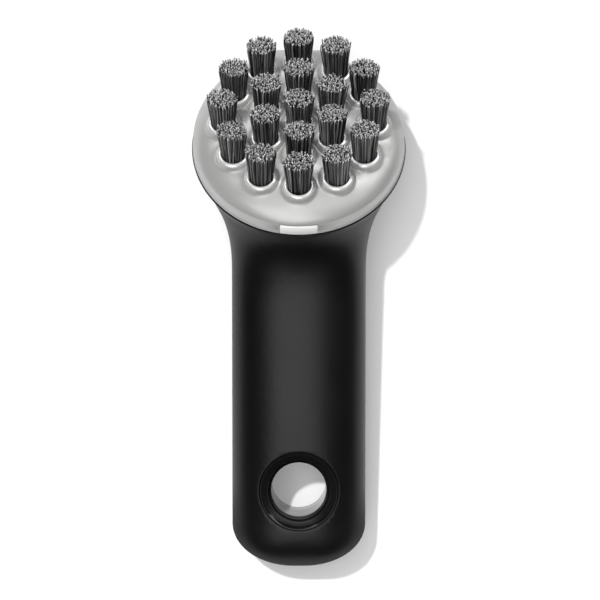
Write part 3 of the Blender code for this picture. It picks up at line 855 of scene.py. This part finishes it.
def make_collars(plastic):
    """A raised ring round each tuft, with a soft fillet down to the plate."""
    top = COLLAR_HEIGHT / MM
    profile = [
        (4.0, -3.4, 0), (4.0, top - 0.42, 0), (4.02, top - 0.22, 0), (4.08, top - 0.08, 0),
        (4.18, top - 0.01, 0), (4.32, top, 0), (4.53, top - 0.02, 0), (4.74, top - 0.08, 0),
        (4.95, top - 0.17, 0), (5.14, top - 0.3, 0), (5.3, top - 0.46, 0),
        (5.43, top - 0.65, 0), (5.53, top - 0.83, 0), (5.61, 0.9, 0.5), (5.7, 0.72, 1),
        (5.81, 0.56, 1), (5.94, 0.41, 1), (6.1, 0.28, 1), (6.3, 0.15, 1), (6.5, 0.04, 1),
        (5.6, -1.2, 1),
    ]
    collars = bmesh.new()
    for place in TUFT_PLACES:
        rows = [collar_row(place, r * MM, h * MM, follow) for r, h, follow in profile]
        rows.append(rows[0])
        collar = sheet(64, rows)
        mesh = bpy.data.meshes.new("collar")
        collar.to_mesh(mesh)
        collar.free()
        collars.from_mesh(mesh)
        bpy.data.meshes.remove(mesh)
    # Mask of the highlight painted on the beads: 1 over each collar's bead, fading out at its
    # foot
    bead_highlight_layer = collars.verts.layers.float.new("bead_highlight")
    for vert in collars.verts:
        away = min(math.hypot(vert.co.x - x, vert.co.y - y) for x, y in TUFT_PLACES)
        vert[bead_highlight_layer] = min(max((BEAD_HIGHLIGHT_FOOT - away) / BEAD_HIGHLIGHT_FADE, 0.0), 1.0)
    piece = finished("tuft_collars", collars, HEAD)
    dress(piece, plastic, "light_grey_plate", "bristle_plate")


def make_tab(plastic):
    """The tab let into the back of the plate's rim."""
    tab = finished("white_rim_tab", bent_block(0.0, TAB_EDGE), HEAD)
    dress(tab, plastic, "white_tab", "rim_tab")


# The bristles

def filament_template():
    """A six sided filament one unit long, with rows to bend at and a narrowed tip."""
    bm = bmesh.new()
    bmesh.ops.create_cone(
        bm, cap_ends=True, segments=6, radius1=FILAMENT_RADIUS, radius2=FILAMENT_RADIUS,
        depth=1.0, matrix=Matrix.Translation((0, 0, 0.5)),
    )
    rows = (0.5, 0.85, 0.96, 0.99)
    for height in rows:
        bmesh.ops.bisect_plane(
            bm, geom=bm.verts[:] + bm.edges[:] + bm.faces[:], dist=1e-7,
            plane_co=(0, 0, height), plane_no=(0, 0, 1),
        )
    narrowing = 0.8
    for vert in bm.verts:
        if vert.co.z > PALE_TO:
            vert.co.x *= narrowing
            vert.co.y *= narrowing
    mesh = bpy.data.meshes.new("filament")
    bm.to_mesh(mesh)
    bm.free()
    return mesh


def make_tuft(number, place, template, plastic):
    """A tuft that spreads from its hole, each filament with its own length, lean and tone."""
    dice = random.Random(100 + number)
    golden = math.pi * (3 - math.sqrt(5))
    spin = dice.uniform(0, AROUND)
    lean = Vector((dice.uniform(-TUFT_LEAN, TUFT_LEAN), dice.uniform(-TUFT_LEAN, TUFT_LEAN)))
    root_z = crown_height(math.hypot(*place)) - ROOT_DEPTH
    bm = bmesh.new()
    for _ in range(FILAMENTS):
        bm.from_mesh(template)
    tip_highlight_layer = bm.verts.layers.float.new("tip")
    tone_layer = bm.verts.layers.float.new("tone")
    bm.verts.ensure_lookup_table()
    each = len(template.vertices)
    for k in range(FILAMENTS):
        share = math.sqrt((k + 0.5) / FILAMENTS)
        angle = spin + golden * k + dice.uniform(-TURN_STRAY, TURN_STRAY)
        out = Vector((math.cos(angle), math.sin(angle)))
        stray = Vector([dice.gauss(0, size) for size in STRAY])
        curl = Vector([dice.gauss(0, size) for size in CURL])
        root = out * ROOT_SPREAD * share
        tip = Vector((out.x, out.y * TIP_FLATNESS)) * TIP_SPREAD * share + stray + lean
        tip.y = min(tip.y + TIP_SHIFT, TIP_REACH)
        trim = TRIM + TRIM_AT_EDGE * share**3 - dice.gauss(0, TRIM_UNEVENNESS)
        tone = dice.random() ** TONE_BIAS
        length = TIP_HEIGHT - max(trim, LEAST_TRIM) - root_z
        for vert in bm.verts[k * each:(k + 1) * each]:
            t = vert.co.z
            flow = t * (1 - BEND + BEND * t)
            spot = root + (tip - root) * flow - curl * t * (1 - t**CURL_SHARPNESS)
            vert.co.x += place[0] + spot.x
            vert.co.y += place[1] + spot.y
            vert.co.z = root_z + length * t
            # How far into the painted tip highlight this point is
            vert[tip_highlight_layer] = min(max((t - PALE_FROM) / (PALE_TO - PALE_FROM), 0.0), 1.0)
            vert[tone_layer] = tone
    name = f"bristles_{number:02d}"
    tuft = finished(name, bm, HEAD, crease=60)
    dress(tuft, plastic, "nylon_bristles", f"tuft_{number:02d}")


# The stage

def set_up(name, data, place):
    """Puts a lamp there, turned to the middle of the brush."""
    made = bpy.data.objects.new(name, data)
    bpy.context.scene.collection.objects.link(made)
    made.location = place
    made.rotation_euler = (-made.location).to_track_quat("-Z", "Y").to_euler()
    return made


def panel(name, place, width, height, level):
    """A soft lamp whose face has that brightness, where 1 is white."""
    lamp = bpy.data.lights.new(name, "AREA")
    lamp.shape = "RECTANGLE"
    lamp.size = width
    lamp.size_y = height
    lamp.energy = level * math.pi * width * height
    return set_up(name, lamp, place)


def make_lights():
    """A sun and panels. The card is seen only in gloss, the sun and the fill never."""
    light = bpy.data.lights.new("sun", "SUN")
    light.energy = SUN_LEVEL
    light.angle = SUN_SPREAD
    sun = set_up("sun", light, SUN_PLACE)
    sun.visible_glossy = False
    panel("over the handle", (-0.146, -0.062, 1.19), width=1.12, height=0.78, level=2.45)
    panel("over the head", (0.253, 0.587, 1.016), width=1.64, height=0.643, level=1.1)
    card = panel("beyond the head", (0.19, 0.982, 0.663), width=1.68, height=0.42, level=5.0)
    card.visible_diffuse = False
    fill = panel("before the handle", (0.0, -0.9, 0.75), width=1.0, height=0.6, level=1.9)
    fill.visible_glossy = False


def make_room():
    """A dark room with a pale band low down on its left and right."""
    world = bpy.data.worlds.new("room")
    world.use_nodes = True
    bpy.context.scene.world = world
    room = Nodes(world.node_tree)
    direction = room.node("TexCoord", {}, {}, "Generated")
    across = room.node("SeparateXYZ", {}, {0: direction}, "X")
    height = room.node("SeparateXYZ", {}, {0: direction}, "Z")
    band = 0.21 - 0.2 * room.between(height, 0.03, 0.2)
    backdrop = world.node_tree.nodes["Background"]
    room.feed(backdrop.inputs["Color"], grey(1.0))
    room.feed(backdrop.inputs["Strength"], across * across * band)


def make_floor():
    """A white table top: its colour takes light and shadow, with a little level of its own."""
    bm = bmesh.new()
    bmesh.ops.create_circle(bm, cap_ends=True, segments=96, radius=TABLE_RADIUS)
    floor = finished("table", bm, Matrix.Translation((0, 0, -TABLE_GAP)))
    white = Finish("table white", Roughness=0.9, Specular_IOR_Level=0.0)
    camera_ray, glossy_ray, transmission_ray = (
        white.node("LightPath", {}, {}, f"Is {name} Ray")
        for name in ("Camera", "Glossy", "Transmission")
    )
    seen = camera_ray + glossy_ray + transmission_ray
    white.wear(
        Base_Color=white.blend(white.noise(0.4, 2.0), grey(0.76), grey(0.78)),
        Emission_Color=white.blend(seen, grey(0.0), grey(TABLE_GLOW)),
        Emission_Strength=1.0,
    )
    floor.data.materials.append(white.material)


def make_camera():
    lens = bpy.data.cameras.new("camera")
    lens.lens = CAMERA_LENS
    lens.sensor_width = CAMERA_SENSOR
    camera = bpy.data.objects.new("camera", lens)
    camera.location = CAMERA_PLACE
    bpy.context.scene.collection.objects.link(camera)
    bpy.context.scene.camera = camera


make_grip(soft_rubber())
make_core(gloss_plastic())
grey_plastic = plate_plastic()
make_plate(grey_plastic)
make_collars(grey_plastic)
make_tab(white_plastic())
bristle = nylon()
filament = filament_template()
for number, spot in enumerate(TUFT_PLACES, start=1):
    make_tuft(number, spot, filament, bristle)
wire = zinc()
for name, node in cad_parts.items():
    if name.startswith("anchor"):
        for slot in node.material_slots:
            slot.material = wire
make_floor()
make_lights()
make_room()
make_camera()

scene = bpy.context.scene
scene.view_settings.view_transform = "Standard"
